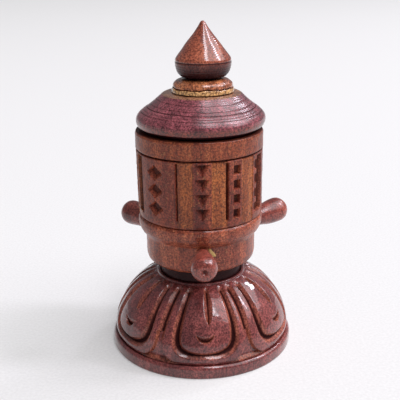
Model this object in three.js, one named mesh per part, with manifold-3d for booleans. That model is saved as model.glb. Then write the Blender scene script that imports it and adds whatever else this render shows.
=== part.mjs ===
// A wooden tabletop prayer wheel: a drum that turns on a steel spindle above a lotus-carved base.
// Millimetres, +Z up. The origin is the centre of the base's underside and -Y is the front.
import * as THREE from "three";
import { mergeVertices } from "three/addons/utils/BufferGeometryUtils.js";
import Module from "manifold-3d";

const wasm = await Module();
wasm.setup();

// Driving dimensions.
const GAP = 0.3; // clearance between neighbouring pieces
const BASE_RADIUS = 35.8;
const RIM_HEIGHT = 4.9; // plain foot ring below the petals
const DOME_TOP = 29.3;
const BEAD_TOP = 30.1; // raised ring round the foot of the neck
const NECK_RADIUS = 15.9;
const NECK_TOP = 35;
const CUP_BOTTOM = NECK_TOP + GAP;
const CUP_RADIUS = 21.2;
const LIP_RADIUS = 24;
const CUP_TOP = 53.8;
const DRUM_RADIUS = 24.2;
const DRUM_BORE = 19;
const DRUM_TOP = 86.8;
const BAND_BOTTOM = 79.7; // groove between the carved zone and the plain band
const LID_BOTTOM = 87.4;
const LID_RADIUS = 24.2;
const LID_TOP = 100.3;
const COLLAR_RADIUS = 11.6;
const COLLAR_TOP = 105.5;
const FINIAL_RADIUS = 10.5;
const TIP = 126.2;
const LID_SHIFT = 0.5; // the lid sits a little loose on the drum
const COLLAR_SHIFT = 1.1; // the collar and the finial are glued off the lid's centre
const FINIAL_SHIFT = 1.3;

// The spindle and what runs on it.
const SPINDLE_RADIUS = 2;
const RUNNING_BORE = SPINDLE_RADIUS + GAP;
const SPINDLE_BOTTOM = 2.3;
const SPINDLE_TOP = 88.2;
const BUSH_RADIUS = 4.7;
const PLUG_RADIUS = 9;
const PLUG_HEIGHT = 2;
const COUNTERBORE_DEPTH = 6.4;
const WASHER_RECESS = 8.6; // radius of the pocket for the thrust washer under the cup
const WASHER_RECESS_DEPTH = 1;
const NUT_FLATS = 7;
const NUT_HEIGHT = 2.6;
const DISC_BOTTOM = 80;
const DISC_TOP = 83.6;

// The paper roll inside the drum.
const ROLL_BOTTOM = 47.9;
const ROLL_TOP = 79.4;
const CORE_RADIUS = 4.6;
const ROLL_RADIUS = 14.8;
const ROLL_PITCH = 2;
const ROLL_GAP = 0.6;

// Petals are carved round the dome, and the front one sits a little to the right of -Y.
const PETAL_COUNT = 6;
const FRONT_PETAL = 3;
const PETAL_STEP = 360 / PETAL_COUNT;
const GOUGE = 1.5; // half width of a V cut

// Pegs stand out of the cup's wall at a height, with azimuths in degrees from the front towards +X.
const PEGS = [
  { name: "peg_front", azimuth: 2, rise: 0, height: 44.1, reach: 17.5, radius: 4.7 },
  { name: "peg_right", azimuth: 121.5, rise: 8, height: 44.7, reach: 20.1, radius: 5 },
  { name: "peg_left", azimuth: -129, rise: 4.2, height: 44.1, reach: 19.6, radius: 5 },
];
const TENON_RADIUS = 2;
const TENON_LENGTH = 6.5;
const SHOULDER = 0.6; // a leaning peg's shoulder clears the cup's wall

// Carved panels round the drum.
const PANEL_COUNT = 8;
const PANEL_STEP = 360 / PANEL_COUNT;
const FIRST_PANEL = -65.5;
const CHIP_FLOOR = 22.5; // radius of the bottom of the chip cuts

const FINE = 48; // facets round the large turnings
const MEDIUM = 32;
const SMALL = 16;

const up = new THREE.Vector3(0, 0, 1);
const rad = THREE.MathUtils.degToRad;

const wood = (color, roughness) => new THREE.MeshStandardMaterial({ color, roughness, metalness: 0 });
const metal = (color, roughness) => new THREE.MeshStandardMaterial({ color, roughness, metalness: 1 });
const darkWood = wood(0x6e3426, 0.32);
const drumWood = wood(0x9a5f34, 0.5);
const paleWood = wood(0xb98a5a, 0.6);
const pegWood = wood(0x8f4c3a, 0.38);
const steel = metal(0xb4b6b8, 0.35);
const brass = metal(0xc9a352, 0.3);
const paper = wood(0xe9dfc6, 0.9);
const cotton = wood(0xb0412f, 0.95);

// A solid turned about +Z from an outline of [radius, height] corners and THREE.Path stretches.
function turned(points, facets) {
  const outline = points.map(([radius, height]) => new THREE.Vector2(radius, height));
  return new THREE.LatheGeometry(outline, facets).rotateX(Math.PI / 2);
}

// A ring or tube with a rectangular section.
function ring(inner, outer, bottom, top, facets) {
  return turned(
    [
      [inner, bottom],
      [outer, bottom],
      [outer, top],
      [inner, top],
      [inner, bottom],
    ],
    facets,
  );
}

// A round bar from bottom to top on the Z axis.
function bar(radius, bottom, top, facets) {
  return turned(
    [
      [0, bottom],
      [radius, bottom],
      [radius, top],
      [0, top],
    ],
    facets,
  );
}

// A smooth stretch of outline through the given corners, with a number of pieces for each.
function curved(corners, pieces) {
  const curve = new THREE.SplineCurve(corners.map(([radius, height]) => new THREE.Vector2(radius, height)));
  return curve.getPoints((corners.length - 1) * pieces).map((point) => [point.x, point.y]);
}

function solid(geometry) {
  const bare = geometry.index ? geometry.toNonIndexed() : geometry.clone();
  bare.deleteAttribute("normal");
  bare.deleteAttribute("uv");
  const merged = mergeVertices(bare, 1e-3);
  return new wasm.Manifold(
    new wasm.Mesh({
      numProp: 3,
      vertProperties: merged.attributes.position.array,
      triVerts: new Uint32Array(merged.index.array),
    }),
  );
}

function geometryOf(manifold) {
  const mesh = manifold.getMesh();
  const geometry = new THREE.BufferGeometry();
  geometry.setAttribute("position", new THREE.BufferAttribute(mesh.vertProperties, mesh.numProp));
  geometry.setIndex(new THREE.BufferAttribute(mesh.triVerts, 1));
  const flat = geometry.toNonIndexed();
  flat.computeVertexNormals();
  return flat;
}

const joined = (geometries) => geometries.map(solid).reduce((all, one) => all.add(one));

function piece(name, geometry, material) {
  const mesh = new THREE.Mesh(geometry, material);
  mesh.name = name;
  return mesh;
}

// Horizontal direction at an azimuth in degrees from the front.
const facing = (azimuth) => new THREE.Vector3(Math.sin(rad(azimuth)), -Math.cos(rad(azimuth)), 0);

// ---- lotus base ----

const domeProfile = curved(
  [
    [34.2, RIM_HEIGHT],
    [34.6, 7.5],
    [34.1, 11.5],
    [31.6, 17.5],
    [27.3, 23.3],
    [21.3, 27.8],
    [17.5, DOME_TOP],
  ],
  1,
);

function domeRadius(height) {
  const above = domeProfile.findIndex(([, z]) => z >= height);
  if (above <= 0) return domeProfile[above < 0 ? domeProfile.length - 1 : 0][0];
  const [lowRadius, low] = domeProfile[above - 1];
  const [highRadius, high] = domeProfile[above];
  return THREE.MathUtils.mapLinear(height, low, high, lowRadius, highRadius);
}

const onDome = ([azimuth, height]) =>
  facing(azimuth)
    .multiplyScalar(domeRadius(height))
    .setZ(height);

// A V gouge along a curve through [azimuth, height] places on the dome.
function domeGouge(places, halfWidth, steps) {
  const route = new THREE.CatmullRomCurve3(places.map(onDome));
  const section = new THREE.Shape([
    new THREE.Vector2(halfWidth, 0),
    new THREE.Vector2(0, halfWidth),
    new THREE.Vector2(-halfWidth, 0),
    new THREE.Vector2(0, -halfWidth),
  ]);
  return new THREE.ExtrudeGeometry(section, { steps, bevelEnabled: false, extrudePath: route });
}

// The sunk triangle between two petals, just above the foot ring.
function spandrel(azimuth) {
  const halfWidth = 5.6;
  const low = RIM_HEIGHT + 1;
  const high = 16.5;
  const middle = (low + high) / 2;
  const depth = 1.3;
  const triangle = new THREE.Shape([
    new THREE.Vector2(-halfWidth, low - middle),
    new THREE.Vector2(halfWidth, low - middle),
    new THREE.Vector2(0, high - middle),
  ]);
  const lean = Math.atan2(domeRadius(low) - domeRadius(high), high - low);
  const cutter = new THREE.ExtrudeGeometry(triangle, { depth: 2 * depth, bevelEnabled: false });
  return cutter
    .translate(0, 0, -depth)
    .rotateX(Math.PI / 2 - lean)
    .translate(0, -domeRadius(middle), middle)
    .rotateZ(rad(azimuth));
}

function petalCuts(azimuth) {
  const tongue = [-17, -19.5, -19, -15, -8].map((offset, i) => [azimuth + offset, [28, 20, 14.5, 10.8, 9.1][i]]);
  const otherSide = tongue.map(([side, height]) => [2 * azimuth - side, height]).reverse();
  const border = azimuth + PETAL_STEP / 2;
  return [
    domeGouge([...tongue, [azimuth, 8.9], ...otherSide], GOUGE, 14),
    domeGouge([[border, 28], [border, 23], [border, 15.5]], GOUGE, 4),
    domeGouge([[azimuth, 27.8], [azimuth, 24], [azimuth, 20]], 0.9, 3),
    domeGouge([[azimuth - 5, 16.4], [azimuth, 14.2], [azimuth + 5, 16.4]], 0.9, 4),
    spandrel(border),
  ];
}

function lotusBase() {
  const blank = turned(
    [
      [RUNNING_BORE, COUNTERBORE_DEPTH],
      [PLUG_RADIUS + GAP, COUNTERBORE_DEPTH],
      [PLUG_RADIUS + GAP, 0],
      [BASE_RADIUS - 0.4, 0],
      [BASE_RADIUS, 0.6],
      [BASE_RADIUS, RIM_HEIGHT - 1.4],
      [BASE_RADIUS - 0.6, RIM_HEIGHT - 0.5],
      ...domeProfile,
      [17.3, DOME_TOP + 0.3],
      [16.9, BEAD_TOP],
      [NECK_RADIUS, BEAD_TOP - 0.3],
      [NECK_RADIUS, NECK_TOP],
      [RUNNING_BORE, NECK_TOP],
      [RUNNING_BORE, COUNTERBORE_DEPTH],
    ],
    FINE,
  );
  const petals = Array.from({ length: PETAL_COUNT }, (_, i) => petalCuts(FRONT_PETAL + i * PETAL_STEP));
  return geometryOf(solid(blank).subtract(joined(petals.flat())));
}

// ---- spindle hardware ----

function nut(bottom) {
  const corner = NUT_FLATS / 2 / Math.cos(Math.PI / 6);
  const hexagon = new THREE.Shape(
    Array.from({ length: 6 }, (_, i) => new THREE.Vector2(corner, 0).rotateAround(new THREE.Vector2(), rad(60 * i))),
  );
  hexagon.holes.push(new THREE.Path().absarc(0, 0, RUNNING_BORE, 0, 2 * Math.PI, true));
  const geometry = new THREE.ExtrudeGeometry(hexagon, { depth: NUT_HEIGHT, bevelEnabled: false, curveSegments: 12 });
  return geometry.translate(0, 0, bottom);
}

function spindle() {
  return turned(
    [
      [0, SPINDLE_BOTTOM],
      [SPINDLE_RADIUS, SPINDLE_BOTTOM],
      [SPINDLE_RADIUS, SPINDLE_TOP - 0.8],
      [SPINDLE_RADIUS - 0.8, SPINDLE_TOP],
      [0, SPINDLE_TOP],
    ],
    SMALL,
  );
}

// ---- cup and pegs ----

// Places geometry modelled along +Z from the cup's wall along a peg's own axis.
function alongPeg(geometry, { azimuth, rise, height }) {
  const outward = facing(azimuth);
  const direction = outward.clone().multiplyScalar(Math.cos(rad(rise))).setZ(Math.sin(rad(rise)));
  const turn = new THREE.Quaternion().setFromUnitVectors(up, direction);
  return geometry.applyQuaternion(turn).translate(outward.x * CUP_RADIUS, outward.y * CUP_RADIUS, height);
}

function peg(place) {
  // Fractions of the peg's reach and of its full radius.
  const club = [
    [0.44, 0],
    [0.55, 0.08],
    [0.63, 0.2],
    [0.76, 0.37],
    [0.91, 0.55],
    [1, 0.76],
    [0.94, 0.88],
    [0.68, 0.97],
    [0, 1],
  ];
  const outside = curved(
    club.map(([width, along]) => [width * place.radius, SHOULDER + along * (place.reach - SHOULDER)]),
    1,
  );
  const outline = [[0, -TENON_LENGTH], [TENON_RADIUS, -TENON_LENGTH], [TENON_RADIUS, SHOULDER], ...outside];
  return alongPeg(turned(outline, SMALL), place);
}

function cup() {
  const foot = curved([[18.6, CUP_BOTTOM], [20.5, CUP_BOTTOM + 1.1], [CUP_RADIUS, CUP_BOTTOM + 3.4]], 2);
  const lip = curved([[22, 47.6], [23.2, 48.8], [LIP_RADIUS, 51.6], [23.2, CUP_TOP]], 1);
  const outline = [
    [BUSH_RADIUS + GAP, CUP_BOTTOM + WASHER_RECESS_DEPTH],
    [WASHER_RECESS, CUP_BOTTOM + WASHER_RECESS_DEPTH],
    [WASHER_RECESS, CUP_BOTTOM],
    ...foot,
    [CUP_RADIUS, 46.5],
    ...lip,
    [DRUM_BORE - GAP, CUP_TOP],
    [DRUM_BORE - GAP, CUP_TOP + 4],
    [ROLL_RADIUS + 1, CUP_TOP + 4],
    [ROLL_RADIUS + 1, ROLL_BOTTOM - GAP],
    [BUSH_RADIUS + GAP, ROLL_BOTTOM - GAP],
    [BUSH_RADIUS + GAP, CUP_BOTTOM + WASHER_RECESS_DEPTH],
  ];
  const holes = PEGS.map((place) =>
    alongPeg(bar(TENON_RADIUS + GAP, -TENON_LENGTH - GAP, 1, SMALL), place),
  );
  return geometryOf(solid(turned(outline, FINE)).subtract(joined(holes)));
}

// ---- drum ----

// A rectangle as corners of [angle from the panel's left edge, height].
const box = (left, right, bottom, top) => [[left, bottom], [right, bottom], [right, top], [left, top]];

// The same rectangle on both sides of a panel's middle.
const boxPair = (left, right, bottom, top) => [
  box(left, right, bottom, top),
  box(PANEL_STEP - right, PANEL_STEP - left, bottom, top),
];
const diamond = (halfWidth, bottom, top) => [
  [PANEL_STEP / 2, bottom],
  [PANEL_STEP / 2 + halfWidth, (bottom + top) / 2],
  [PANEL_STEP / 2, top],
  [PANEL_STEP / 2 - halfWidth, (bottom + top) / 2],
];
const arrowhead = (tip) => [
  [PANEL_STEP / 2, tip],
  [PANEL_STEP / 2 + 7, tip + 4.8],
  [PANEL_STEP / 2 - 7, tip + 4.8],
];

// Plain geometric chip cuts that take turns round the drum, each with the slot at its panel's left edge.
const MOTIFS = [
  { slot: [-9, 4], chips: [57.6, 64.4, 71.2].map((low) => diamond(9.5, low, low + 6)) },
  { slot: [-1, 1], chips: [57.4, 62.9, 68.4, 73.9].map(arrowhead) },
  { slot: [-1.6, 1.6], chips: [57.4, 62.9, 68.4, 73.9].flatMap((low) => boxPair(6, 13, low, low + 3.6)) },
];

function panelCuts({ slot, chips }) {
  return [box(...slot, 57, BAND_BOTTOM - 0.8), ...chips];
}

function chip(corners, panelEdge) {
  const angles = corners.map(([angle]) => angle);
  const centre = (Math.min(...angles) + Math.max(...angles)) / 2;
  const shape = new THREE.Shape(
    corners.map(([angle, height]) => new THREE.Vector2(DRUM_RADIUS * Math.sin(rad(angle - centre)), height)),
  );
  const prism = new THREE.ExtrudeGeometry(shape, { depth: DRUM_RADIUS / 2, bevelEnabled: false });
  return prism
    .rotateX(Math.PI / 2)
    .translate(0, -DRUM_RADIUS * 0.75, 0)
    .rotateZ(rad(panelEdge + centre));
}

function drum() {
  const blank = turned(
    [
      [DRUM_BORE, CUP_TOP + GAP],
      [23.5, CUP_TOP + GAP],
      [23.9, CUP_TOP + 1],
      [23.95, 62],
      [24.1, BAND_BOTTOM - 0.6],
      [23.6, BAND_BOTTOM],
      [DRUM_RADIUS, BAND_BOTTOM + 0.6],
      [DRUM_RADIUS, DRUM_TOP - 0.8],
      [DRUM_RADIUS - 0.5, DRUM_TOP - 0.2],
      [22.6, DRUM_TOP],
      [DRUM_BORE, DRUM_TOP],
      [DRUM_BORE, CUP_TOP + GAP],
    ],
    FINE,
  );
  const chips = Array.from({ length: PANEL_COUNT }, (_, i) => {
    const edge = FIRST_PANEL + i * PANEL_STEP;
    return panelCuts(MOTIFS[i % MOTIFS.length]).map((corners) => chip(corners, edge));
  });
  const floor = solid(bar(CHIP_FLOOR, 0, TIP, FINE));
  return geometryOf(solid(blank).subtract(joined(chips.flat()).subtract(floor)));
}

// ---- paper roll ----

// A sheet wound from the core outwards, seen from above as one closed spiral outline.
function paperRoll() {
  const sheet = ROLL_PITCH - ROLL_GAP;
  const inner = CORE_RADIUS + GAP;
  const turns = (ROLL_RADIUS - sheet - inner) / ROLL_PITCH;
  const steps = Math.round(turns * SMALL);
  const at = (i, thickness) => {
    const turn = i / SMALL;
    const radius = inner + turn * ROLL_PITCH + thickness;
    return new THREE.Vector2(radius, 0).rotateAround(new THREE.Vector2(), 2 * Math.PI * turn);
  };
  const inside = Array.from({ length: steps + 1 }, (_, i) => at(i, 0));
  const outside = Array.from({ length: steps + 1 }, (_, i) => at(i, sheet));
  const outline = new THREE.Shape([...outside, ...inside.reverse()]);
  const height = ROLL_TOP - ROLL_BOTTOM;
  return new THREE.ExtrudeGeometry(outline, { depth: height, bevelEnabled: false }).translate(0, 0, ROLL_BOTTOM);
}

// ---- lid and finial ----

function lid() {
  const shoulder = curved(
    [
      [22.3, LID_BOTTOM],
      [24, 89.3],
      [LID_RADIUS, 90.8],
      [23, 93],
      [19.4, 95.9],
      [15.5, 99.3],
      [14.2, LID_TOP],
    ],
    1,
  );
  const blank = turned(
    [
      [0, 92],
      [10, 92],
      [14, 89],
      [14, LID_BOTTOM - 3],
      [DRUM_BORE - 0.9, LID_BOTTOM - 3],
      [DRUM_BORE - 0.9, LID_BOTTOM],
      ...shoulder,
      [0, LID_TOP],
    ],
    FINE,
  );
  const dowelHole = bar(TENON_RADIUS + GAP, 91, LID_TOP + 1, SMALL).translate(FINIAL_SHIFT, 0, 0);
  return geometryOf(solid(blank).subtract(solid(dowelHole)));
}

function collar() {
  const bottom = LID_TOP + GAP;
  const crown = curved([[11.2, 103.1], [10.9, 103.9], [9.9, 104.8], [8.2, COLLAR_TOP]], 1);
  return turned(
    [
      [TENON_RADIUS + GAP, bottom],
      [COLLAR_RADIUS, bottom],
      [11.4, 102.3],
      [10.9, 102.6],
      ...crown,
      [TENON_RADIUS + GAP, COLLAR_TOP],
      [TENON_RADIUS + GAP, bottom],
    ],
    MEDIUM,
  );
}

function finial() {
  const bottom = COLLAR_TOP + GAP;
  const boreTop = 114.3;
  const bowl = curved([[6.4, bottom], [9, 107.4], [FINIAL_RADIUS, 111.2], [9.4, 114.2], [6.6, 117.9]], 1);
  const spire = curved([[6.6, 117.9], [3.3, 122], [1.1, 125.4], [0, TIP]], 1);
  return turned(
    [[0, boreTop], [TENON_RADIUS + GAP, boreTop], [TENON_RADIUS + GAP, bottom], ...bowl, ...spire.slice(1)],
    MEDIUM,
  );
}

// ---- assembly ----

const group = new THREE.Group();
const nutBottom = COUNTERBORE_DEPTH - 2 * GAP - 0.8 - NUT_HEIGHT;
const upperWasher = DISC_TOP + GAP;
group.add(
  piece("lotus_base", lotusBase(), darkWood),
  piece("base_plug", bar(PLUG_RADIUS, 0, PLUG_HEIGHT, MEDIUM), paleWood),
  piece("spindle", spindle(), steel),
  piece("spindle_nut", nut(nutBottom), steel),
  piece("spindle_washer", ring(RUNNING_BORE, 6, nutBottom + NUT_HEIGHT + 0.2, COUNTERBORE_DEPTH - GAP, SMALL), steel),
  piece("thrust_washer", ring(RUNNING_BORE, WASHER_RECESS - 0.4, CUP_BOTTOM, CUP_BOTTOM + 0.7, SMALL), brass),
  piece("wheel_cup", cup(), darkWood),
  piece("lower_bush", ring(RUNNING_BORE, BUSH_RADIUS, CUP_BOTTOM + 1.3, ROLL_BOTTOM - GAP, SMALL), brass),
  ...PEGS.map((place) => piece(place.name, peg(place), pegWood)),
  piece("drum", drum(), drumWood),
  piece("scroll_core", ring(SPINDLE_RADIUS + 2 * GAP, CORE_RADIUS, ROLL_BOTTOM, ROLL_TOP, SMALL), paleWood),
  piece("mantra_scroll", paperRoll(), paper),
  piece("scroll_tie_lower", ring(ROLL_RADIUS + GAP, ROLL_RADIUS + 0.9, 60, 63, MEDIUM), cotton),
  piece("scroll_tie_upper", ring(ROLL_RADIUS + GAP, ROLL_RADIUS + 0.9, 71, 74, MEDIUM), cotton),
  piece("top_disc", ring(BUSH_RADIUS + GAP, DRUM_BORE - GAP, DISC_BOTTOM, DISC_TOP, FINE), paleWood),
  piece("upper_bush", ring(RUNNING_BORE, BUSH_RADIUS, DISC_BOTTOM, DISC_TOP, SMALL), brass),
  piece("retaining_washer", ring(RUNNING_BORE, 5.5, upperWasher, upperWasher + 0.6, SMALL), steel),
  piece("retaining_nut", nut(upperWasher + 0.6 + GAP), steel),
);

const lidGroup = new THREE.Group();
lidGroup.position.x = LID_SHIFT;
lidGroup.add(piece("lid", lid(), darkWood));

const collarGroup = new THREE.Group();
collarGroup.position.x = COLLAR_SHIFT;
collarGroup.add(piece("finial_collar", collar(), drumWood));

const finialGroup = new THREE.Group();
finialGroup.position.x = FINIAL_SHIFT;
finialGroup.add(
  piece("finial", finial(), pegWood),
  piece("finial_dowel", bar(TENON_RADIUS, 92.5, 114, SMALL), paleWood),
);
lidGroup.add(collarGroup, finialGroup);
group.add(lidGroup);

export default group;
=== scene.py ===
"""A wooden tabletop prayer wheel: turned and carved surfaces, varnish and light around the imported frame."""
import math

import bmesh
import bpy
import numpy as np
from mathutils import Euler, Matrix, Quaternion, Vector


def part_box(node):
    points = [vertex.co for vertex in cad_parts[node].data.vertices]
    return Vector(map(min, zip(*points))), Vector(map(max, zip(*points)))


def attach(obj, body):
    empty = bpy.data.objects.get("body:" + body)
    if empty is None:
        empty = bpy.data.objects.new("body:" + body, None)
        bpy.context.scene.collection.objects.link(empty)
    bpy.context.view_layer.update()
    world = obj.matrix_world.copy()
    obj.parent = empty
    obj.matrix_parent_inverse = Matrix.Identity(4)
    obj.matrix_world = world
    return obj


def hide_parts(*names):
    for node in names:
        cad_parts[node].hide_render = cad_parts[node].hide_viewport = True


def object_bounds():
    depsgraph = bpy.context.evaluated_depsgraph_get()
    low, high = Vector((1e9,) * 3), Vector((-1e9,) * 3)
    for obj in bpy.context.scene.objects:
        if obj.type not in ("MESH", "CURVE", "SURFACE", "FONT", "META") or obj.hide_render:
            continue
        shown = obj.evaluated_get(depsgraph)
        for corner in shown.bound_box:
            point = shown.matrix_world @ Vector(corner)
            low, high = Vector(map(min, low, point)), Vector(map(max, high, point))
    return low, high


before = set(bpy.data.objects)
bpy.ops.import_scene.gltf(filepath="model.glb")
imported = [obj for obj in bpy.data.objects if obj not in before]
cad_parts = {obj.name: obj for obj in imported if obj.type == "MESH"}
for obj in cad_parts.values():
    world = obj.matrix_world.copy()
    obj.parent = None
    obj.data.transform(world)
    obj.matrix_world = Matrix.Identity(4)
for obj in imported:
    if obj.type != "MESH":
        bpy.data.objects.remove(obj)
cad_low, cad_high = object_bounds()

# Outlines are written in millimetres from the frame's own heights and radii.
MM = 0.001


def span(node):
    """Lowest and highest corner of a CAD node, in millimetres."""
    low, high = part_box(node)
    return low / MM, high / MM


def middle_x(node):
    low, high = span(node)
    return (low.x + high.x) / 2


FOOT_RADIUS = span("lotus_base")[1].x
NECK_TOP = span("lotus_base")[1].z
RIM_TOP = 4.9  # the foot ring's height
DOME_TOP = NECK_TOP - 5.7
BEAD_TOP = NECK_TOP - 4.9  # the raised ring round the foot of the neck
NECK_RADIUS = 15.9
BORE = 2.3
PLUG_HOLE = span("base_plug")[1].x + 0.3
POCKET = 6.4  # depth of the pocket for the spindle's nut
CUP_LOW = span("wheel_cup")[0].z
LIP_RADIUS = span("wheel_cup")[1].x
DRUM_LOW = span("drum")[0].z
DRUM_HIGH = span("drum")[1].z
DRUM_RADIUS = span("drum")[1].x
DRUM_BORE = 19
CUP_TOP = DRUM_LOW - 0.3
BAND_LOW = DRUM_HIGH - 7.1  # the plain band above the carving
LID_SPIGOT = span("lid")[0].z
LID_TOP = span("lid")[1].z
LID_X = middle_x("lid")
COLLAR_LOW, COLLAR_HIGH = span("finial_collar")[0].z, span("finial_collar")[1].z
FINIAL_LOW, TIP = span("finial")[0].z, span("finial")[1].z
COLLAR_X = middle_x("finial_collar")
FINIAL_X = middle_x("finial")
FINIAL_RADIUS = (span("finial")[1].x - span("finial")[0].x) / 2
PEG_WALL = 21.2  # radius of the cup's wall, where the pegs come out

# Facets round the carved pieces.
BASE_FACETS = 1080
DRUM_FACETS = 1080


# ---- outlines and meshes ----

def smooth(points, step=0.3):
    """Places about step apart on a smooth curve through (radius, height) points."""
    knots = np.array(points, float)
    padded = np.vstack([2 * knots[0] - knots[1], knots, 2 * knots[-1] - knots[-2]])
    places = []
    for a, b, c, d in zip(padded, padded[1:], padded[2:], padded[3:]):
        count = max(2, math.ceil(np.linalg.norm(c - b) / step))
        for t in np.arange(count) / count:
            places.append(0.5 * (2 * b + (c - a) * t + (2 * a - 5 * b + 4 * c - d) * t**2
                                 + (3 * b - a - 3 * c + d) * t**3))
    places.append(knots[-1])
    return np.array(places)


def straight(points, step=0.5):
    """Places about step apart along straight lines."""
    knots = np.array(points, float)
    places = []
    for a, b in zip(knots, knots[1:]):
        count = max(1, math.ceil(np.linalg.norm(b - a) / step))
        places.extend(a + (b - a) * t for t in np.arange(count) / count)
    places.append(knots[-1])
    return np.array(places)


def eased(points, radius=0.3, steps=4):
    """An outline with its sharp corners rounded off."""
    knots = np.array(points, float)
    places = [knots[0]]
    for before, corner, after in zip(knots, knots[1:], knots[2:]):
        back, on = before - corner, after - corner
        reach = min(radius, np.linalg.norm(back) / 2, np.linalg.norm(on) / 2)
        start = corner + back / np.linalg.norm(back) * reach
        end = corner + on / np.linalg.norm(on) * reach
        for t in np.linspace(0, 1, steps + 1):
            places.append((1 - t) ** 2 * start + 2 * t * (1 - t) * corner + t**2 * end)
    places.append(knots[-1])
    return np.array(places)


def ripple(points, size, seed, waves=14):
    """A smooth, seeded, random-looking field between about -1 and 1, with features of a size in mm."""
    rng = np.random.default_rng(seed)
    directions = rng.normal(size=(waves, 3))
    directions /= np.linalg.norm(directions, axis=1)[:, None]
    rates = 2 * np.pi / size * rng.uniform(0.6, 1.6, waves)
    phases = rng.uniform(0, 2 * np.pi, waves)
    field = np.zeros(points.shape[:-1])
    for direction, rate, phase in zip(directions, rates, phases):
        field += np.sin(points @ direction * rate + phase)
    return field / math.sqrt(waves)


def turned(name, outline, facets=160, carve=None):
    """A mesh turned about +Z from an outline that ends where it starts, or starts and ends on the axis.

    carve(azimuth, places) gives the cut depth in mm and a dictionary of values kept for the material.
    Azimuths are degrees from the front, towards +X.
    """
    azimuth = np.linspace(-180, 180, facets, endpoint=False)
    along = np.gradient(outline, axis=0)
    along /= np.linalg.norm(along, axis=1)[:, None] + 1e-9
    out_r, out_z = along[:, 1], -along[:, 0]
    around = np.radians(azimuth)[:, None]
    facing = np.stack([np.sin(around), -np.cos(around), 0 * around], -1)
    up = np.array([0, 0, 1])
    places = facing * outline[None, :, :1] + up * outline[None, :, 1:]
    normals = facing * out_r[None, :, None] + up * out_z[None, :, None]
    kept = {}
    if carve:
        depth, kept = carve(np.broadcast_to(azimuth[:, None], places.shape[:2]), places)
        places = places - normals * depth[..., None]
    rows = len(outline)
    index = np.arange(facets * rows).reshape(facets, rows)
    ahead = np.roll(index, -1, axis=0)
    quads = np.stack([index[:, :-1], ahead[:, :-1], ahead[:, 1:], index[:, 1:]], -1).reshape(-1, 4)
    kept = {key: value.reshape(-1) for key, value in kept.items()}
    return mesh_piece(name, places.reshape(-1, 3), quads, kept)


def mesh_piece(name, places, faces, kept=None):
    """An object from places in mm, with named values at its points and coincident points joined."""
    mesh = bpy.data.meshes.new(name)
    mesh.from_pydata(places * MM, [], faces.tolist())
    for key, values in (kept or {}).items():
        mesh.attributes.new(key, "FLOAT", "POINT").data.foreach_set("value", values.astype(np.float32))
    form = bmesh.new()
    form.from_mesh(mesh)
    bmesh.ops.remove_doubles(form, verts=form.verts, dist=1e-7)
    bmesh.ops.recalc_face_normals(form, faces=form.faces)
    form.to_mesh(mesh)
    form.free()
    mesh.shade_smooth()
    mesh.set_sharp_from_angle(angle=math.radians(50))
    piece = bpy.data.objects.new(name, mesh)
    bpy.context.scene.collection.objects.link(piece)
    return piece


def place(piece, body, material, slot, *nodes):
    """Puts a piece on a body, in place of CAD nodes, with its material."""
    piece.data.materials.append(material)
    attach(piece, body)
    if nodes:
        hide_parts(*nodes)
    return piece


# ---- materials ----

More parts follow.
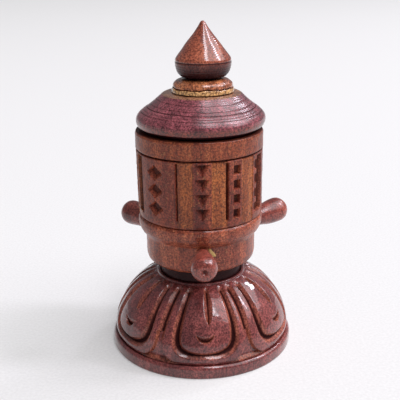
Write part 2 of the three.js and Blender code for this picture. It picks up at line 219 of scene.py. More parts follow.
class Nodes:
    """Short words for building one material's node tree."""

    def __init__(self, name):
        self.material = bpy.data.materials.new(name)
        self.material.use_nodes = True
        self.tree = self.material.node_tree
        self.shader = self.tree.nodes["Principled BSDF"]

    def add(self, kind, settings=None, **inputs):
        node = self.tree.nodes.new(kind)
        for key, value in (settings or {}).items():
            setattr(node, key, value)
        for key, value in inputs.items():
            self.put(node.inputs[key.replace("_", " ")], value)
        return node

    def put(self, socket, value):
        if isinstance(value, bpy.types.NodeSocket):
            self.tree.links.new(value, socket)
        else:
            socket.default_value = value

    def noise(self, vector, scale, detail=4.0, roughness=0.55):
        node = self.add("ShaderNodeTexNoise", Vector=vector, Scale=scale, Detail=detail, Roughness=roughness)
        return node.outputs["Fac"]

    def stretched(self, scale):
        """Object coordinates stretched along an axis, so that a noise on them runs like grain."""
        where = self.add("ShaderNodeTexCoord").outputs["Object"]
        node = self.add("ShaderNodeMapping", Vector=where)
        node.inputs["Scale"].default_value = scale
        return node.outputs["Vector"]

    def ramp(self, factor, stops):
        node = self.add("ShaderNodeValToRGB", Fac=factor)
        band = node.color_ramp
        while len(band.elements) < len(stops):
            band.elements.new(0.5)
        for element, (position, colour) in zip(band.elements, stops):
            element.position = position
            element.color = (*colour, 1) if len(colour) == 3 else colour
        return node.outputs["Color"]

    def level(self, factor, low, high, to_low=0.0, to_high=1.0):
        """Stretches a factor so that low becomes to_low and high becomes to_high."""
        node = self.add("ShaderNodeMapRange", {"clamp": True})
        self.put(node.inputs["Value"], factor)
        for socket, value in zip(("From Min", "From Max", "To Min", "To Max"), (low, high, to_low, to_high)):
            node.inputs[socket].default_value = value
        return node.outputs["Result"]

    def mix(self, factor, a, b, blend="MIX"):
        node = self.add("ShaderNodeMix", {"data_type": "RGBA", "blend_type": blend})
        self.put(node.inputs["Factor"], factor)
        for socket, value in (("A", a), ("B", b)):
            target = next(s for s in node.inputs if s.name == socket and s.type == "RGBA")
            self.put(target, (*value, 1) if isinstance(value, tuple) else value)
        return next(s for s in node.outputs if s.type == "RGBA")

    def math(self, operation, a, b):
        node = self.add("ShaderNodeMath", {"operation": operation})
        self.put(node.inputs[0], a)
        self.put(node.inputs[1], b)
        return node.outputs[0]

    def kept(self, name):
        """A value that the mesh keeps at its points."""
        return self.add("ShaderNodeAttribute", {"attribute_name": name}).outputs["Fac"]

    def finish(self, colour, roughness, height=None, bump=0.3, **sockets):
        self.put(self.shader.inputs["Base Color"], colour)
        self.put(self.shader.inputs["Roughness"], roughness)
        if height is not None:
            node = self.add("ShaderNodeBump", Height=height, Strength=bump, Distance=0.0002)
            self.put(self.shader.inputs["Normal"], node.outputs["Normal"])
        for key, value in sockets.items():
            self.shader.inputs[key.replace("_", " ")].default_value = value
        return self.material


STREAK_STRETCH = (1, 1, 0.06)  # grain runs up the wood
FIBRE_STRETCH = (1, 1, 0.16)
# The dark colour that the kept cut value brings in: painted shade in hollows, gaps and grooves, and also real
# burnt lines, a knot and stain.
CUT_DARK = (0.018, 0.005, 0.006)
WOOD_SHINE = 0.22  # specular level, kept low so that dark varnish stays dark


def wood(name, pale, mid, dark, gloss=0.5, roughness=0.4, polish=0.15, speckle=0.8, bump=0.35,
         cut=None, matt="wall", fleck=None, tints=()):
    """Varnished wood: broad streaks and fine fibres along the grain, dark pores and a pale speckle.

    cut names a kept value that paints shade into hollows, gaps and grooves with a dark colour (on some
    pieces it also marks real burnt lines, a knot and stain), matt one that dulls them, and fleck is the
    colour of
    scattered bright specks. Each tint is (kept value, pale, mid, dark): the tones that the same grain
    takes where that value is high, as in worn wood, or as a painted highlight on the walls of cuts.
    """
    n = Nodes(name)
    even = n.stretched((1, 1, 1))
    streaks = n.noise(n.stretched(STREAK_STRETCH), 230, detail=4, roughness=0.6)
    fibres = n.noise(n.stretched(FIBRE_STRETCH), 2100, detail=3, roughness=0.65)
    mottle = n.noise(even, 1500, detail=2, roughness=0.7)
    cloud = n.noise(even, 45, detail=3)
    grainy = n.math("ADD", n.math("MULTIPLY", streaks, 0.6), n.math("MULTIPLY", cloud, 0.4))
    colour = n.ramp(grainy, [(0.36, dark), (0.5, mid), (0.62, pale)])
    for kept, *tones in tints:
        there = n.ramp(grainy, [(place, tone) for place, tone in zip((0.62, 0.5, 0.36), tones)][::-1])
        colour = n.mix(n.kept(kept), colour, there)
    pores = n.math("MULTIPLY", n.level(fibres, 0.48, 0.66), 0.85)
    colour = n.mix(pores, colour, n.mix(1.0, colour, (0.4, 0.33, 0.36), "MULTIPLY"))
    lighter = n.mix(1.0, colour, (2.1, 2.1, 2.1), "MULTIPLY")
    darker = n.mix(1.0, colour, (0.38, 0.3, 0.33), "MULTIPLY")
    colour = n.mix(speckle, colour, n.mix(n.level(mottle, 0.4, 0.6), darker, lighter))
    if fleck:
        specks = n.level(n.noise(even, 900, detail=2, roughness=0.8), 0.6, 0.7)
        colour = n.mix(n.math("MULTIPLY", specks, 0.45), colour, fleck)
    # Painted shade: the kept cut value darkens the colour towards the dark colour and turns its reflections
    # down.
    if cut:
        colour = n.mix(n.level(n.kept(cut), 0.25, 0.95), colour, CUT_DARK)
        n.put(n.shader.inputs["Specular IOR Level"], n.level(n.kept(cut), 1.0, 0.2, 0.0, WOOD_SHINE))
        coat_loss = n.math("ADD", n.kept(cut), n.kept(matt))
        n.put(n.shader.inputs["Coat Weight"], n.level(coat_loss, 1.0, 0.1, 0.0, gloss))
    else:
        n.shader.inputs["Specular IOR Level"].default_value = WOOD_SHINE
        n.shader.inputs["Coat Weight"].default_value = gloss
    surface = n.math("ADD", n.math("MULTIPLY", fibres, 0.6), n.math("MULTIPLY", mottle, 0.6))
    patchy = n.level(mottle, 0.3, 0.7, roughness - 0.1, roughness + 0.15)
    return n.finish(colour, patchy, surface, bump, Coat_Roughness=polish)


def metal(name, colour, roughness):
    n = Nodes(name)
    scratches = n.noise(n.stretched((1, 1, 12)), 500, detail=4)
    stain = n.noise(n.stretched((1, 1, 1)), 180, detail=3)
    tone = n.mix(n.level(stain, 0.4, 0.75), colour, tuple(0.6 * c for c in colour))
    rough = n.level(scratches, 0.0, 1.0, roughness - 0.1, roughness + 0.15)
    return n.finish(tone, rough, scratches, 0.15, Metallic=1.0)


def fibrous(name, colour, shade, scale, bump):
    """Paper or cotton: a matte, speckled, fibrous surface."""
    n = Nodes(name)
    weave = n.noise(n.stretched((1, 1, 4)), scale, detail=5, roughness=0.7)
    stain = n.noise(n.stretched((1, 1, 1)), 90, detail=3)
    tone = n.mix(n.level(weave, 0.3, 0.7), shade, colour)
    tone = n.mix(n.math("MULTIPLY", n.level(stain, 0.45, 0.75), 0.4), tone, shade)
    return n.finish(tone, 0.9, weave, bump)


# The wall tint is a painted highlight on the steep walls of the cuts.
base_wood = wood("base_wood", (0.235, 0.058, 0.05), (0.165, 0.038, 0.034), (0.095, 0.021, 0.021), gloss=1.0,
                 roughness=0.4, polish=0.1, speckle=0.65, cut="cut",
                 tints=[("wall", (0.44, 0.15, 0.075), (0.32, 0.095, 0.045), (0.18, 0.045, 0.022))])
cup_wood = wood("cup_wood", (0.37, 0.1, 0.045), (0.24, 0.054, 0.027), (0.115, 0.024, 0.015), gloss=0.35,
                bump=0.55, speckle=0.65, fleck=(0.62, 0.27, 0.12))
drum_wood = wood("drum_wood", (0.28, 0.066, 0.03), (0.18, 0.036, 0.019), (0.085, 0.016, 0.012), gloss=0.3,
                 roughness=0.48, speckle=0.6, cut="cut", fleck=(0.5, 0.22, 0.08),
                 tints=[("ochre", (0.35, 0.105, 0.027), (0.235, 0.058, 0.017), (0.115, 0.024, 0.01))])
lid_wood = wood("lid_wood", (0.27, 0.068, 0.08), (0.19, 0.045, 0.054), (0.105, 0.024, 0.03), gloss=0.9,
                roughness=0.42, polish=0.27, cut="cut",
                tints=[("warm", (0.21, 0.037, 0.02), (0.135, 0.022, 0.014), (0.07, 0.012, 0.009)),
                       ("bare", (0.36, 0.2, 0.095), (0.26, 0.13, 0.06), (0.16, 0.075, 0.035))])
collar_wood = wood("collar_wood", (0.46, 0.165, 0.065), (0.32, 0.1, 0.04), (0.17, 0.045, 0.02), gloss=1.0,
                   polish=0.12, cut="cut",
                   tints=[("gold", (0.66, 0.42, 0.17), (0.53, 0.32, 0.12), (0.36, 0.19, 0.07))])
# The finial's darkening tint is partly painted shade on its lower bowl.
finial_wood = wood("finial_wood", (0.38, 0.105, 0.05), (0.26, 0.062, 0.031), (0.145, 0.03, 0.018), gloss=1.0,
                   roughness=0.34, polish=0.1, speckle=0.6, cut="stain",
                   tints=[("stain", (0.08, 0.018, 0.024), (0.045, 0.01, 0.015), (0.02, 0.005, 0.009))])
peg_wood = wood("peg_wood", (0.34, 0.085, 0.058), (0.24, 0.052, 0.036), (0.13, 0.026, 0.02), gloss=0.9,
                polish=0.2, speckle=0.55, cut="cut")
pale_wood = wood("pale_wood", (0.62, 0.44, 0.25), (0.52, 0.35, 0.19), (0.36, 0.22, 0.11), gloss=0.0,
                 roughness=0.6)
steel = metal("steel", (0.62, 0.62, 0.64), 0.32)
brass = metal("brass", (0.75, 0.56, 0.24), 0.32)
paper = fibrous("paper", (0.8, 0.74, 0.6), (0.62, 0.53, 0.38), 700, 0.2)
glue = fibrous("glue", (0.78, 0.56, 0.22), (0.3, 0.16, 0.05), 1300, 0.4)
cotton = fibrous("cotton", (0.5, 0.1, 0.07), (0.28, 0.05, 0.04), 1500, 0.6)


# ---- lotus base ----

DOME = smooth([(34.0, RIM_TOP - 0.2), (34.6, 6.5), (34.6, 8.5), (34.1, 11.5), (33.1, 14.5), (31.6, 17.5),
               (29.7, 20.5), (27.3, 23.3), (24.5, 25.8), (21.3, 27.8), (19.2, 28.75), (17.5, DOME_TOP)],
              0.25)
# Petals as (azimuth, degrees that the petal's top leans), cut by hand.
PETALS = [(2, 2.5), (62, 0), (122, 1), (-178, -1), (-118, 1), (-58, 2)]
BORDERS = [(-29, 4), (31, 0.5), (92, 1), (152, -1.5), (-148, 1), (-88, 1)]
PETAL_TOP = DOME_TOP - 0.1
# How many degrees round its middle each kind of cut can reach.
PETAL_REACH, BORDER_REACH, SMILE_REACH = 36, 24, 12


def apart(azimuth, middle):
    """Degrees from a middle to an azimuth, between -180 and 180."""
    return (azimuth - middle + 180) % 360 - 180


def on_dome(azimuth, height):
    """A place on the dome in mm."""
    radius = np.interp(height, DOME[:, 1], DOME[:, 0])
    around = np.radians(azimuth)
    return np.stack([radius * np.sin(around), -radius * np.cos(around), np.asarray(height, float)], -1)


def route(azimuth, lean, offsets):
    """A carved line through (degrees from the petal's middle, height) offsets, leaning at the top."""
    line = smooth(offsets, 0.8)
    lean_here = lean * (line[:, 1] - 10) / (PETAL_TOP - 10)
    return on_dome(azimuth + line[:, 0] + lean_here, line[:, 1])


def distance(places, line):
    """Distance in mm from each place to a line, and how far along the line (0 to 1) the nearest point is."""
    best = np.full(len(places), 1e9)
    where = np.zeros(len(places))
    count = len(line) - 1
    for i, (a, b) in enumerate(zip(line, line[1:])):
        ab = b - a
        t = np.clip((places - a) @ ab / (ab @ ab), 0, 1)
        gap = np.linalg.norm(places - a - t[:, None] * ab, axis=1)
        nearer = gap < best
        best = np.where(nearer, gap, best)
        where = np.where(nearer, (i + t) / count, where)
    return best, where


def gouge(gap, half_width, depth):
    """The depth of a V cut with eased shoulders at a distance from its line."""
    cut = np.clip(1 - gap / np.maximum(half_width, 1e-6), 0, 1)
    return depth * cut


def tongue_line(azimuth, lean):
    side = [(17, PETAL_TOP), (18.6, 24), (19.4, 18), (18.6, 13.5), (15.5, 10.6), (9, 9.1)]
    other = [(-degrees, height) for degrees, height in side]
    return route(azimuth, lean, side + [(0, 8.8)] + other[::-1])


def smile_depth(places, middle):
    """A thumbnail cut: its floor falls from a shallow upper edge to a steep lower one."""
    half_width, ends = 3.4, 16.9
    off = apart(np.degrees(np.arctan2(places[:, 0], -places[:, 1])), middle)
    across = np.radians(off) * np.hypot(places[:, 0], places[:, 1]) / half_width
    arc = np.sqrt(np.clip(1 - across**2, 0, 1))
    upper, lower = ends - 1.1 * arc, ends - 3.0 * arc
    fall = (upper - places[:, 2]) / np.maximum(upper - lower, 0.05)
    return 1.5 * arc * np.where(fall < 0, 0, np.where(fall < 1, fall, np.clip(1 - (fall - 1) * 6, 0, 1)))


def spandrel_depth(off, height):
    """A sunk, curved triangle between the round ends of two petals, off degrees from its middle."""
    low, high, sharpness = 4.4, 16.4, 3.0
    drop = np.clip((high - height) / (high - low), 0, 1)
    half_petal = 16.6 * (1 - drop**sharpness) ** (1 / sharpness)
    lateral = np.radians(np.abs(off)) * np.interp(height, DOME[:, 1], DOME[:, 0])
    half_gap = np.radians(30) * 34.2 - half_petal
    inside = np.minimum(half_gap - lateral, (height - RIM_TOP) * 0.8)
    return 1.6 * np.clip(inside / 0.7, 0, 1) * (height < high)


def petals(azimuth, places):
    """Cut depth of the lotus carving, and the kept values that paint shade into its hollows and a highlight
    on its walls.
    """
    flat = places.reshape(-1, 3)
    angle = azimuth.reshape(-1)
    height = flat[:, 2]
    radius = np.hypot(flat[:, 0], flat[:, 1])
    dome = (height > RIM_TOP - 0.3) & (height < DOME_TOP + 0.1) & (radius > NECK_RADIUS + 1)
    depth = np.zeros(len(flat))
    sunk = np.zeros(len(flat))
    shaded = np.zeros(len(flat))

    def carve(azimuth_here, reach, cut):
        near = dome & (np.abs(apart(angle, azimuth_here)) < reach)
        depth[near] = np.maximum(depth[near], cut(flat[near]))

    for middle, lean in PETALS:
        def tongue(here, line=tongue_line(middle, lean)):
            gap, along = distance(here, line)
            half_width = 1.35 + 0.65 * np.sin(2 * np.pi * along) ** 2
            return gouge(gap, half_width, 0.95 * half_width) + 0.2 * np.exp(-((gap / 2.4) ** 2))

        def stamen(here, line=route(middle, lean, [(1, PETAL_TOP), (1.5, 24), (1.8, 19.6)])):
            gap, along = distance(here, line)
            return gouge(gap, 1.6 * np.sin(np.pi * np.clip(along, 0.15, 1)) ** 0.6, 1.5)

        def smile(here, middle=middle + 0.1 * lean):
            return smile_depth(here, middle)

        for cut in (tongue, stamen, smile):
            carve(middle, PETAL_REACH, cut)
        near = dome & (np.abs(apart(angle, middle)) < SMILE_REACH)
        shaded[near] = np.maximum(shaded[near], 0.75 * np.clip(smile(flat[near]) / 0.9, 0, 1))
    for middle, lean in BORDERS:
        def border(here, line=route(middle, lean, [(0, PETAL_TOP), (0, 22), (0, 14.5)])):
            gap, along = distance(here, line)
            return gouge(gap, 1.6, 1.5) + 0.15 * np.exp(-((gap / 2.2) ** 2))

        def spandrel(here, middle=middle):
            angle_here = np.degrees(np.arctan2(here[:, 0], -here[:, 1]))
            return spandrel_depth(apart(angle_here, middle), here[:, 2])

        for cut in (border, spandrel):
            carve(middle, BORDER_REACH, cut)
        near = dome & (np.abs(apart(angle, middle)) < BORDER_REACH)
        sunk[near] = np.maximum(sunk[near], spandrel(flat[near]) > 0)
    fade = np.clip((DOME_TOP - 0.1 - height) / 0.8, 0, 1)
    depth *= np.where(dome, fade, 0)
    depth += 0.03 * ripple(flat, 7, 3) * dome + 0.012 * ripple(flat, 2.2, 4) * dome
    depth = depth.reshape(azimuth.shape)
    sunk = sunk.reshape(azimuth.shape)
    steps = np.linalg.norm(np.diff(places, axis=1, append=places[:, -1:]), axis=-1) + 1e-3
    across = np.radians(np.abs(azimuth[1, 0] - azimuth[0, 0])) * radius.reshape(azimuth.shape) + 1e-3
    slope = np.hypot(np.gradient(depth, axis=1) / steps, np.gradient(depth, axis=0) / across)
    # A lighter, oranger tint on the steep walls of the cuts: a painted highlight, with a duller coat.
    wall = np.clip(slope - 0.25, 0, 1) * 0.55
    # Painted shade: the deeper parts of the cuts are darkened, except in the sunk spandrels.
    recess_shade = np.clip((depth - 0.8) / 0.6, 0, 1) * (1 - sunk)
    # Painted shade on the neck under the cup, in the crease beneath the bead and in the thumbnail cuts.
    neck = (radius < NECK_RADIUS + 0.3) & (height > BEAD_TOP - 0.45)
    under_bead = (height > DOME_TOP) & (height < DOME_TOP + 0.35) & (radius > 17.2)
    painted_shade = np.maximum(np.maximum(0.88 * neck, 0.55 * under_bead), shaded)
    recess_shade = np.maximum(recess_shade * 0.9, painted_shade.reshape(azimuth.shape))
    return depth, {"cut": recess_shade, "wall": wall}


def lotus_base():
    foot = eased([(BORE, POCKET), (PLUG_HOLE, POCKET), (PLUG_HOLE, 0), (FOOT_RADIUS, 0),
                  (FOOT_RADIUS, RIM_TOP - 0.9), (FOOT_RADIUS - 0.9, RIM_TOP), (34.3, RIM_TOP - 0.1),
                  (33.8, RIM_TOP - 0.5)], 0.7)
    bead = smooth([(17.45, DOME_TOP + 0.1), (17.35, DOME_TOP + 0.35), (17.2, BEAD_TOP - 0.15),
                   (16.8, BEAD_TOP), (16.3, BEAD_TOP - 0.05), (NECK_RADIUS, BEAD_TOP - 0.35)], 0.1)
    neck = eased([(NECK_RADIUS, BEAD_TOP - 0.3), (NECK_RADIUS, NECK_TOP), (BORE, NECK_TOP), (BORE, POCKET)])
    outline = np.vstack([foot, DOME, bead, neck])
    piece = turned("carved_base", outline, BASE_FACETS, petals)
    place(piece, "base", base_wood, "base_wood", "lotus_base")


# ---- cup and pegs ----

def cup():
    wall = smooth([(18.0, CUP_LOW), (19.6, CUP_LOW + 0.3), (20.7, CUP_LOW + 1.3), (21.15, CUP_LOW + 3),
                   (PEG_WALL, 38.5)])
    upright = straight([(PEG_WALL, 38.5), (PEG_WALL, 45.8)])
    lip = smooth([(PEG_WALL + 0.2, 46.2), (21.9, 46.9), (22.7, 47.8), (23.4, 49), (23.8, 50.3),
                  (LIP_RADIUS, 51.7), (23.8, 53.1), (23.2, CUP_TOP)])
    centring = DRUM_BORE - 0.3  # radius of the raised rim that centres the drum
    inside = eased([(23.2, CUP_TOP), (centring, CUP_TOP), (centring, CUP_TOP + 4), (15.8, CUP_TOP + 4),
                    (15.8, 47.6), (5, 47.6), (5, CUP_LOW + 1), (8.6, CUP_LOW + 1), (8.6, CUP_LOW),
                    (18, CUP_LOW)])
    outline = np.vstack([wall, upright[1:], lip, inside[1:]])

    def tool_marks(azimuth, places):
        outside = np.hypot(places[..., 0], places[..., 1]) > PEG_WALL - 2
        rings = 0.025 * np.sin(places[..., 2] * 5.1) + 0.05 * ripple(places, 7, 11)
        return np.where(outside, rings, 0), {}

    place(turned("turned_cup", outline, 240, tool_marks), "wheel", cup_wood, "cup_wood", "wheel_cup")


# Pegs as (node, azimuth, rise in degrees, height at the cup's wall, reach, radius), as the frame has them.
PEGS = [("peg_front", 2, 0, 44.1, 17.5, 4.7), ("peg_right", 121.5, 8, 44.7, 20.1, 5),
        ("peg_left", -129, 4.2, 44.1, 19.6, 5)]


def peg(node, azimuth, rise, height, reach, radius):
    club = [(0, -4), (2.0, -4), (0.44 * radius, 0), (0.56 * radius, 0.1 * reach),
            (0.76 * radius, 0.37 * reach), (0.91 * radius, 0.55 * reach), (radius, 0.76 * reach),
            (0.94 * radius, 0.88 * reach), (0.71 * radius, 0.965 * reach), (2.0, reach),
            (1.15, reach - 0.05), (0.7, reach - 0.6), (0, reach - 0.85)]
    outline = np.vstack([[club[0]], smooth(club[1:])])

    def tool_marks(angle, places):
        rings = 0.02 * np.sin(places[..., 2] * 6.3) + 0.05 * ripple(places, 6, int(azimuth) % 97)
        off_axis = np.hypot(places[..., 0], places[..., 1])
        # Painted shade in the hollow at the centre of the peg's end.
        dimple_shade = 0.8 * np.clip(1.3 - off_axis, 0, 1) * (places[..., 2] > reach - 1)
        return rings * (places[..., 2] > 0), {"cut": dimple_shade}

    piece = turned("turned_" + node, outline, 96, tool_marks)
    around = math.radians(azimuth)
    outward = Vector((math.sin(around), -math.cos(around), 0))
    aim = Vector((outward.x, outward.y, math.tan(math.radians(rise)))).normalized()
    piece.data.transform(aim.to_track_quat("Z", "Y").to_matrix().to_4x4())
    piece.data.transform(Matrix.Translation(outward * PEG_WALL * MM + Vector((0, 0, height * MM))))
    place(piece, "wheel", peg_wood, "peg_wood", node)


# The dried glue's half sizes in mm, then its azimuth, height and lean.
GLUE_SIZE = (0.85, 0.6, 2.1)
GLUE_AZIMUTH, GLUE_HEIGHT, GLUE_LEAN = 11.3, 44.1, -36


def glue_bead():
    """Dried glue that squeezed out beside the front peg."""
    bead = bmesh.new()
    bmesh.ops.create_icosphere(bead, subdivisions=4, radius=1)
    places = np.array([vertex.co[:] for vertex in bead.verts])
    lumps = 1 + 0.16 * ripple(places, 1.6, 61) + 0.06 * ripple(places, 0.6, 62)
    for vertex, spot, lump in zip(bead.verts, places, lumps):
        vertex.co = Vector(spot * lump * GLUE_SIZE) * MM
    mesh = bpy.data.meshes.new("glue_bead")
    bead.to_mesh(mesh)
    bead.free()
    mesh.shade_smooth()
    piece = bpy.data.objects.new("glue_bead", mesh)
    bpy.context.scene.collection.objects.link(piece)
    azimuth = math.radians(GLUE_AZIMUTH)
    mesh.transform(Matrix.Rotation(azimuth, 4, "Z") @ Matrix.Rotation(math.radians(GLUE_LEAN), 4, "Y"))
    wall = Vector((math.sin(azimuth), -math.cos(azimuth), 0)) * (PEG_WALL - 0.1)
    mesh.transform(Matrix.Translation((wall + Vector((0, 0, GLUE_HEIGHT))) * MM))
    mesh.materials.append(glue)
    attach(piece, "wheel")


# ---- drum ----

PANEL_COUNT = 8
PANEL_STEP = 360 / PANEL_COUNT
FIRST_PANEL = -65.5
CHIP_DEPTH = 1.5
STEEP, SLOPING = 4, 0.95  # how fast a cut's walls go down
SLOT_SHADE, CHIP_SHADE, RIM_SHADE = 0.78, 0.74, 0.7  # how dark the painted shade is in the cuts and on the top rim, in the gap under the lid


def box(left, right, bottom, top):
    return [(left, bottom), (right, bottom), (right, top), (left, top)]


def box_pair(left, right, bottom, top):
    return [box(left, right, bottom, top), box(PANEL_STEP - right, PANEL_STEP - left, bottom, top)]


def diamond(half_width, bottom, top):
    middle = PANEL_STEP / 2
    height = (bottom + top) / 2
    return [(middle, bottom), (middle + half_width, height), (middle, top), (middle - half_width, height)]


def arrowhead(tip):
    middle = PANEL_STEP / 2
    return [(middle, tip), (middle + 7, tip + 4.8), (middle - 7, tip + 4.8)]


# Plain geometric cuts that take turns round the drum, in degrees from the panel's left edge and heights:
# the slot at that edge, the flat-bottomed cuts, the pointed cuts and the ochre bars.
MOTIFS = [
    {"slot": (-9, 4), "flat": [], "bars": [],
     "pointed": [diamond(9.5, low, low + 6) for low in (57.6, 64.4, 71.2)]},
    {"slot": (-1, 1), "flat": [], "bars": [(0, 14.5), (30.5, 45)],
     "pointed": [arrowhead(tip) for tip in (57.4, 62.9, 68.4, 73.9)]},
    {"slot": (-1.6, 1.6), "bars": [(15, 30)], "pointed": [],
     "flat": [cut for low in (57.4, 62.9, 68.4, 73.9) for cut in box_pair(6, 13, low, low + 3.6)]},
]


def chip_depth(off, height, corners, flat=False):
    """Depth of one cut at places in degrees and mm, with corners that run anticlockwise.

    A flat-bottomed cut has steep walls; a pointed one has steep walls only along its top.
    """
    x = np.radians(off) * DRUM_RADIUS
    points = [(math.radians(angle) * DRUM_RADIUS, z) for angle, z in corners]
    depth = np.full(off.shape, CHIP_DEPTH)
    for (ax, az), (bx, bz) in zip(points, points[1:] + points[:1]):
        inside = ((bx - ax) * (height - az) - (bz - az) * (x - ax)) / math.hypot(bx - ax, bz - az)
        depth = np.minimum(depth, inside * (STEEP if flat or bx < ax else SLOPING))
    return np.clip(depth, 0, CHIP_DEPTH)


def drum_chips(azimuth, places):
    height = places[..., 2]
    outside = np.hypot(places[..., 0], places[..., 1]) > DRUM_RADIUS - 1.6
    carved = outside & (height > DRUM_LOW + 0.6) & (height < BAND_LOW - 0.2)
    depth = np.zeros(azimuth.shape)
    slots = np.zeros(azimuth.shape)
    ochre = np.where(outside & (height > BAND_LOW), 0.35, 0.0)
    for i in range(PANEL_COUNT):
        motif = MOTIFS[i % len(MOTIFS)]
        off = apart(azimuth - FIRST_PANEL, i * PANEL_STEP)
        here = carved & (off >= 0) & (off < PANEL_STEP)
        for left, right in motif["bars"]:
            bar = here & (off > left) & (off < right)
            ochre = np.where(bar, 1.0, ochre)
            edge = np.radians(np.minimum(off - left, right - off)) * DRUM_RADIUS
            depth = np.where(bar, np.clip(edge * 1.5, 0, 0.28), depth)
        for kind in ("flat", "pointed"):
            for corners in motif[kind]:
                cut = chip_depth(off, height, corners, kind == "flat")
                depth = np.maximum(depth, np.where(here, cut, 0))
        slot = box(*motif["slot"], 57, BAND_LOW - 0.8)
        slot_depth = np.where(carved, chip_depth(off, height, slot, True), 0)
        slots = np.maximum(slots, slot_depth)
    # Painted shade: the deeper parts of the cuts and the slots are darkened.
    recess_shade = np.maximum(CHIP_SHADE * np.clip(depth / CHIP_DEPTH, 0, 1) ** 2,
                        SLOT_SHADE * np.clip(slots / CHIP_DEPTH, 0, 1))
    depth = np.maximum(depth, slots)
    # Painted shade in the groove under the plain band and along the top rim, in the gap under the lid.
    groove_shade = np.exp(-(((height - BAND_LOW) / 0.35) ** 2)) * outside
    groove_shade = np.maximum(groove_shade, RIM_SHADE * (height > DRUM_HIGH - 0.35))
    depth = depth + outside * (0.04 * ripple(places, 6, 21) + 0.02 * ripple(places, 2, 22))
    return depth, {"cut": np.maximum(recess_shade, groove_shade), "ochre": ochre}


def drum():
    outside = np.vstack([
        eased([(DRUM_BORE, DRUM_LOW), (23.4, DRUM_LOW), (23.85, DRUM_LOW + 0.9), (23.9, DRUM_LOW + 2)]),
        straight([(23.9, DRUM_LOW + 2), (23.95, 62), (24.1, BAND_LOW - 0.6)], 0.2),
        smooth([(24.05, BAND_LOW - 0.45), (23.5, BAND_LOW), (24.05, BAND_LOW + 0.45)], 0.1),
        straight([(DRUM_RADIUS, BAND_LOW + 0.6), (DRUM_RADIUS, DRUM_HIGH - 1)]),
        eased([(DRUM_RADIUS, DRUM_HIGH - 1), (23.9, DRUM_HIGH - 0.2), (22.6, DRUM_HIGH),
               (DRUM_BORE, DRUM_HIGH), (DRUM_BORE, DRUM_LOW)]),
    ])
    piece = turned("carved_drum", outside, DRUM_FACETS, drum_chips)
    place(piece, "wheel", drum_wood, "drum_wood", "drum")


# ---- lid, collar and finial ----

def shift(piece, x, lean=0, from_height=0):
    """Moves a turned piece off the axis, and a little further with height."""
    places = np.empty(len(piece.data.vertices) * 3)
    piece.data.vertices.foreach_get("co", places)
    places = places.reshape(-1, 3)
    places[:, 0] += x * MM + lean * (places[:, 2] - from_height * MM)
    piece.data.vertices.foreach_set("co", places.reshape(-1))


def lid():
    low = LID_SPIGOT + 3
    skirt = smooth([(22.3, low), (23.3, low + 0.6), (24.1, low + 2), (24.3, low + 3.3), (24.0, low + 4.5),
                    (23.1, low + 5.7), (21.5, low + 7.1), (19.4, low + 8.6), (17.2, low + 10.4),
                    (15.5, low + 12), (14.8, low + 12.6), (14.0, LID_TOP)], 0.15)
    inside = eased([(0, LID_TOP - 8.3), (10, LID_TOP - 8.3), (14, LID_TOP - 11.3), (14, LID_SPIGOT),
                    (18.1, LID_SPIGOT), (18.1, low), (22.3, low)])
    outline = np.vstack([inside, skirt[1:], [(0, LID_TOP)]])
    # Tool lines as (height, depth).
    cuts = [(low + 3.2, 0.06), (low + 4.9, 0.08), (low + 6.2, 0.14), (low + 7.0, 0.1), (low + 7.9, 0.18),
            (low + 9.0, 0.12), (low + 10.7, 0.12)]

    def tool_lines(azimuth, places):
        outside = (places[..., 2] > low + 0.3) & (np.hypot(places[..., 0], places[..., 1]) > 14.2)
        height = places[..., 2] + 0.12 * np.sin(np.radians(azimuth * 2 + 30))
        lines = sum(deep * np.exp(-(((height - z) / 0.14) ** 2)) for z, deep in cuts)
        # Painted shade along the lid's lower edge, over the gap above the drum; the knot is a real dark mark,
        # and the colour is also darker along the tool lines.
        under_shade = np.clip((low + 1.25 - places[..., 2]) / 0.3, 0, 1)
        knot = np.exp(-(((azimuth - 44) / 1.3) ** 2) - (((places[..., 2] - low - 3) / 0.45) ** 2))
        stain = np.maximum(np.where(outside, np.clip(lines * 6, 0, 0.85), 0), np.maximum(under_shade, 0.9 * knot))
        warm = np.clip((low + 4 - places[..., 2]) / 1.5, 0, 1)
        bare = (places[..., 2] > LID_TOP - 0.4) * 0.8
        lines = 0.5 * lines + 0.012 * np.sin(height * 10) + 0.04 * ripple(places, 9, 31)
        return np.where(outside, lines, 0), {"cut": stain, "warm": warm, "bare": bare}

    piece = turned("turned_lid", outline, 288, tool_lines)
    shift(piece, LID_X, 0.05, low)
    place(piece, "lid", lid_wood, "lid_wood", "lid")


def collar():
    low, high = COLLAR_LOW, COLLAR_HIGH
    outside = smooth([(11.7, low + 0.2), (11.6, low + 0.8), (11.4, low + 1.5), (11.2, low + 2.2),
                      (11.1, low + 2.7), (10.8, low + 3.4), (9.9, low + 4.2), (8.4, high - 0.1), (7, high)],
                     0.12)
    outline = np.vstack([[(BORE, low), (11.3, low)], outside, [(BORE, high), (BORE, low)]])

    def burnt_line(azimuth, places):
        turn = np.radians(azimuth)
        line = low + 1.9 + 0.14 * np.sin(3 * turn + 1) + 0.1 * np.sin(8 * turn) + 0.06 * np.sin(19 * turn)
        wobble = 0.85 + 0.3 * np.sin(11 * turn) * np.sin(5 * turn)
        near = np.exp(-(((places[..., 2] - line) / (0.26 * wobble)) ** 2))
        outside = np.hypot(places[..., 0], places[..., 1]) > 8
        below = np.clip((line - 0.1 - places[..., 2]) / 0.3, 0, 1)
        return (np.where(outside, 0.45 * near + 0.05 * ripple(places, 4, 41), 0),
                {"cut": np.where(outside, near, 0), "gold": 0.85 * below})

    piece = turned("turned_collar", outline, 240, burnt_line)
    shift(piece, COLLAR_X)
    place(piece, "lid", collar_wood, "collar_wood", "finial_collar")


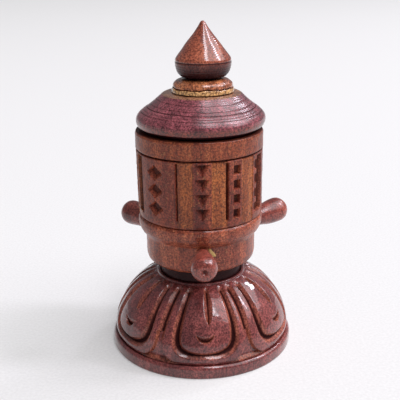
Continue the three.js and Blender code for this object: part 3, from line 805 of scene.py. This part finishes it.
def finial():
    girdle = FINIAL_LOW + 6.1
    bowl = smooth([(6.4, FINIAL_LOW), (8.1, FINIAL_LOW + 0.5), (9.5, FINIAL_LOW + 1.9),
                   (10.2, FINIAL_LOW + 3.8), (FINIAL_RADIUS, FINIAL_LOW + 5.7)], 0.15)
    drop = smooth([(FINIAL_RADIUS - 0.05, girdle), (10.2, girdle + 1), (9.3, girdle + 2.3),
                   (8.1, girdle + 3.9), (6.6, girdle + 6), (4.9, girdle + 8.1), (3.3, girdle + 10.1),
                   (1.9, girdle + 12.1), (1.1, TIP - 0.8), (0.6, TIP - 0.2), (0, TIP)], 0.2)
    outline = np.vstack([[(0, FINIAL_LOW + 8), (BORE, FINIAL_LOW + 8), (BORE, FINIAL_LOW)], bowl, drop])

    def girdle_line(azimuth, places):
        height = places[..., 2]
        girdle_groove = np.exp(-(((height - girdle) / 0.16) ** 2))
        rings = np.where(height < girdle, 0.05 * np.sin(height * 7) ** 3, 0.01 * np.sin(height * 9))
        # The bowl below the girdle darkens towards the bottom: partly painted shade on its downward face,
        # partly a darker stain. The girdle groove is painted dark as shade.
        below = np.clip((girdle - 0.1 - height) / 0.2, 0, 1) * (0.45 + 0.09 * (girdle - height))
        uneven = 0.03 * ripple(places, 6, 51) * (height < TIP - 1)
        depth = 0.14 * girdle_groove + rings * (height < TIP - 2) + uneven
        return depth, {"stain": np.clip(np.maximum(below, 0.85 * girdle_groove), 0, 1)}

    piece = turned("turned_finial", outline, 224, girdle_line)
    shift(piece, FINIAL_X)
    place(piece, "lid", finial_wood, "finial_wood", "finial")


# ---- what keeps its CAD shape ----

def dress_cad_nodes():
    looks = {steel: ["spindle", "spindle_nut", "spindle_washer", "retaining_washer", "retaining_nut"],
             brass: ["thrust_washer", "lower_bush", "upper_bush"],
             pale_wood: ["base_plug", "scroll_core", "top_disc", "finial_dowel"],
             paper: ["mantra_scroll"],
             cotton: ["scroll_tie_lower", "scroll_tie_upper"]}
    for material, names in looks.items():
        for name in names:
            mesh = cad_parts[name].data
            mesh.materials.clear()
            mesh.materials.append(material)


# ---- camera, floor and light ----

# The camera stands in front of the object, at a distance and a height in heights of the object.
EYE_BACK, EYE_UP = 2.197, 1.189
EYE_PITCH, EYE_ROLL = 18.38, -0.74  # degrees down, and round the line of sight
LENS, SENSOR = 67.5, 36


def camera():
    height = cad_high.z - cad_low.z
    data = bpy.data.cameras.new("camera")
    data.lens = LENS
    data.sensor_width = SENSOR
    eye = bpy.data.objects.new("camera", data)
    eye.location = (0, -EYE_BACK * height, EYE_UP * height)
    eye.rotation_mode = "QUATERNION"
    eye.rotation_quaternion = (Euler((math.radians(90 - EYE_PITCH), 0, 0)).to_quaternion()
                               @ Quaternion((0, 0, 1), math.radians(EYE_ROLL)))
    data.clip_start, data.clip_end = 0.01, 50
    bpy.context.scene.collection.objects.link(eye)
    bpy.context.scene.camera = eye


FLOOR_HALF = 8  # metres
FLOOR_GLOW = 0.24


def floor():
    mesh = bpy.data.meshes.new("floor")
    corners = [(x * FLOOR_HALF, y * FLOOR_HALF, 0) for x, y in ((-1, -1), (1, -1), (1, 1), (-1, 1))]
    mesh.from_pydata(corners, [], [(0, 1, 2, 3)])
    sheet = bpy.data.objects.new("floor", mesh)
    bpy.context.scene.collection.objects.link(sheet)
    n = Nodes("floor")
    speck = n.noise(n.stretched((1, 1, 1)), 900, detail=3)
    pale = n.mix(n.level(speck, 0.35, 0.7), (0.5, 0.5, 0.49), (0.57, 0.57, 0.56))
    mesh.materials.append(n.finish(pale, 0.9, Emission_Color=(1, 1, 1, 1), Emission_Strength=FLOOR_GLOW))


def outward(azimuth, elevation):
    """A direction from the object, in degrees from the front towards +X and above the floor."""
    around, rise = math.radians(azimuth), math.radians(elevation)
    return Vector((math.sin(around) * math.cos(rise), -math.cos(around) * math.cos(rise), math.sin(rise)))


def light(name, kind, azimuth, elevation, strength, colour, width, height=0.0):
    """A light that looks at the object: a sun's width is an angle, and an area light's sides are metres."""
    data = bpy.data.lights.new(name, kind)
    data.energy = strength
    data.color = colour
    if kind == "SUN":
        data.angle = math.radians(width)
    else:
        data.shape = "RECTANGLE"
        data.size, data.size_y = width, height
    lamp = bpy.data.objects.new(name, data)
    lamp.rotation_mode = "QUATERNION"
    lamp.rotation_quaternion = (-outward(azimuth, elevation)).to_track_quat("-Z", "Y")
    lamp.location = outward(azimuth, elevation) * 3 + Vector((0, 0, 0.06))
    bpy.context.scene.collection.objects.link(lamp)


def lights():
    light("daylight", "SUN", 86, 56, 2.15, (1.0, 0.98, 0.99), 66)
    light("back_window", "AREA", 133, 37, 13, (0.9, 0.88, 1.0), 0.34, 0.34)
    light("side_window", "AREA", 88, 48, 31, (0.92, 0.88, 1.0), 0.42, 1.2)
    light("lamp", "AREA", 24, 64, 27, (0.97, 0.93, 1.0), 0.5, 1.5)
    world = bpy.data.worlds.new("world")
    world.use_nodes = True
    world.node_tree.nodes["Background"].inputs["Color"].default_value = (0.92, 0.94, 1.0, 1)
    world.node_tree.nodes["Background"].inputs["Strength"].default_value = 0.23
    bpy.context.scene.world = world


lotus_base()
cup()
for entry in PEGS:
    peg(*entry)
glue_bead()
drum()
lid()
collar()
finial()
dress_cad_nodes()
camera()
floor()
lights()
bpy.context.scene.view_settings.view_transform = "Standard"
